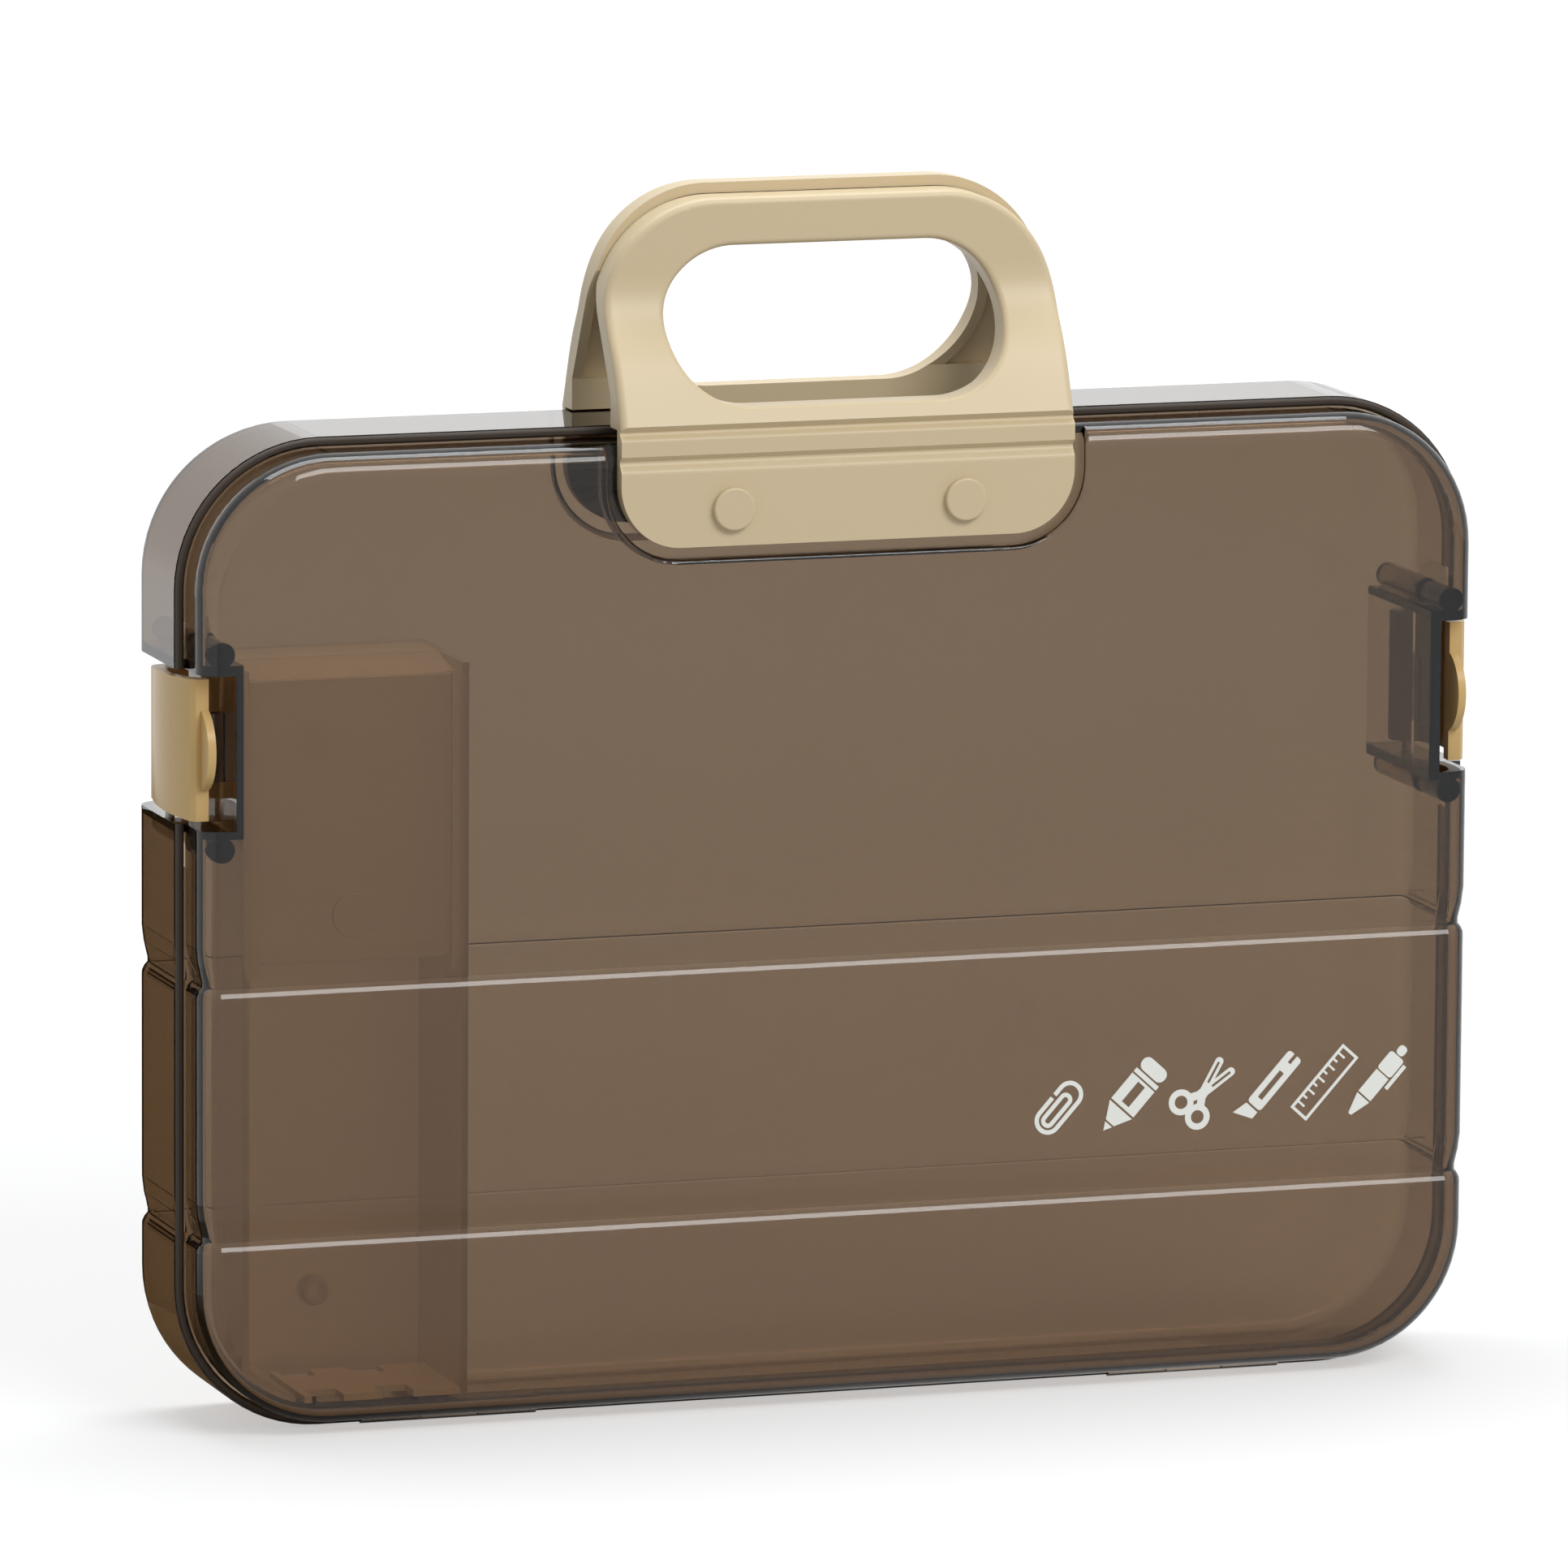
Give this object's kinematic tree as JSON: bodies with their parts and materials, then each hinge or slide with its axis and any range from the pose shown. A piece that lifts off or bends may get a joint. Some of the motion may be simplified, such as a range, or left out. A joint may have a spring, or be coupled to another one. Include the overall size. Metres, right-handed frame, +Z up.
{
  "type": "portable file box",
  "caption": "Upright tinted plastic file box in hinged halves, with a riveted handle on each half, side latches and a pen compartment with a sliding lid.",
  "frame": {"origin": "middle of the footprint, on the ground the closed case stands on", "axes": "+X to the right seen from the front, +Y to the rear half, +Z up through the handles"},
  "size_m": [0.3584, 0.0568, 0.323],
  "materials": {
    "tinted_plastic": "clear smoky brown, glossy",
    "insert_plastic": "clear, faintly smoky",
    "beige_plastic": "satin beige",
    "latch_plastic": "satin beige, a little darker",
    "steel": "plain",
    "dark_peg": "dark smoky",
    "seal_rubber": "soft, dark brown",
    "white_ink": "printed ink"
  },
  "bodies": {
    "rear": {"rear_shell": "tinted_plastic", "rear_handle": "beige_plastic", "rear_handle_rivets": "beige_plastic", "rear_rivet_washers": "steel", "left_latch_pin": "steel", "right_latch_pin": "steel", "hinge_pins": "steel", "rim_seal": "seal_rubber", "pen_case": "insert_plastic", "pen_rack": "insert_plastic", "pen_case_pegs": "insert_plastic"},
    "front": {"front_shell": "tinted_plastic", "front_handle": "beige_plastic", "front_handle_rivets": "beige_plastic", "front_rivet_washers": "steel", "locating_pegs": "dark_peg", "pictogram_print": "white_ink"},
    "left_latch": {"left_latch": "latch_plastic"},
    "right_latch": {"right_latch": "latch_plastic"},
    "pen_lid": {"pen_lid": "insert_plastic"}
  },
  "joints": [
    {"name": "front_hinge", "type": "hinge", "parent": "rear", "child": "front", "pos_m": [0, -0.01, 0.0017], "axis": [1, 0, 0], "range_deg": [0, 180]},
    {"name": "left_latch_hinge", "type": "hinge", "parent": "rear", "child": "left_latch", "pos_m": [-0.173, 0.013, 0.18215], "axis": [0, 0, -1], "range_deg": [0, 100]},
    {"name": "right_latch_hinge", "type": "hinge", "parent": "rear", "child": "right_latch", "pos_m": [0.173, 0.013, 0.18215], "axis": [0, 0, 1], "range_deg": [0, 100]},
    {"name": "pen_lid_slide", "type": "slide", "parent": "rear", "child": "pen_lid", "axis": [0, 0, 1], "range_m": [0, 0.04]}
  ]
}
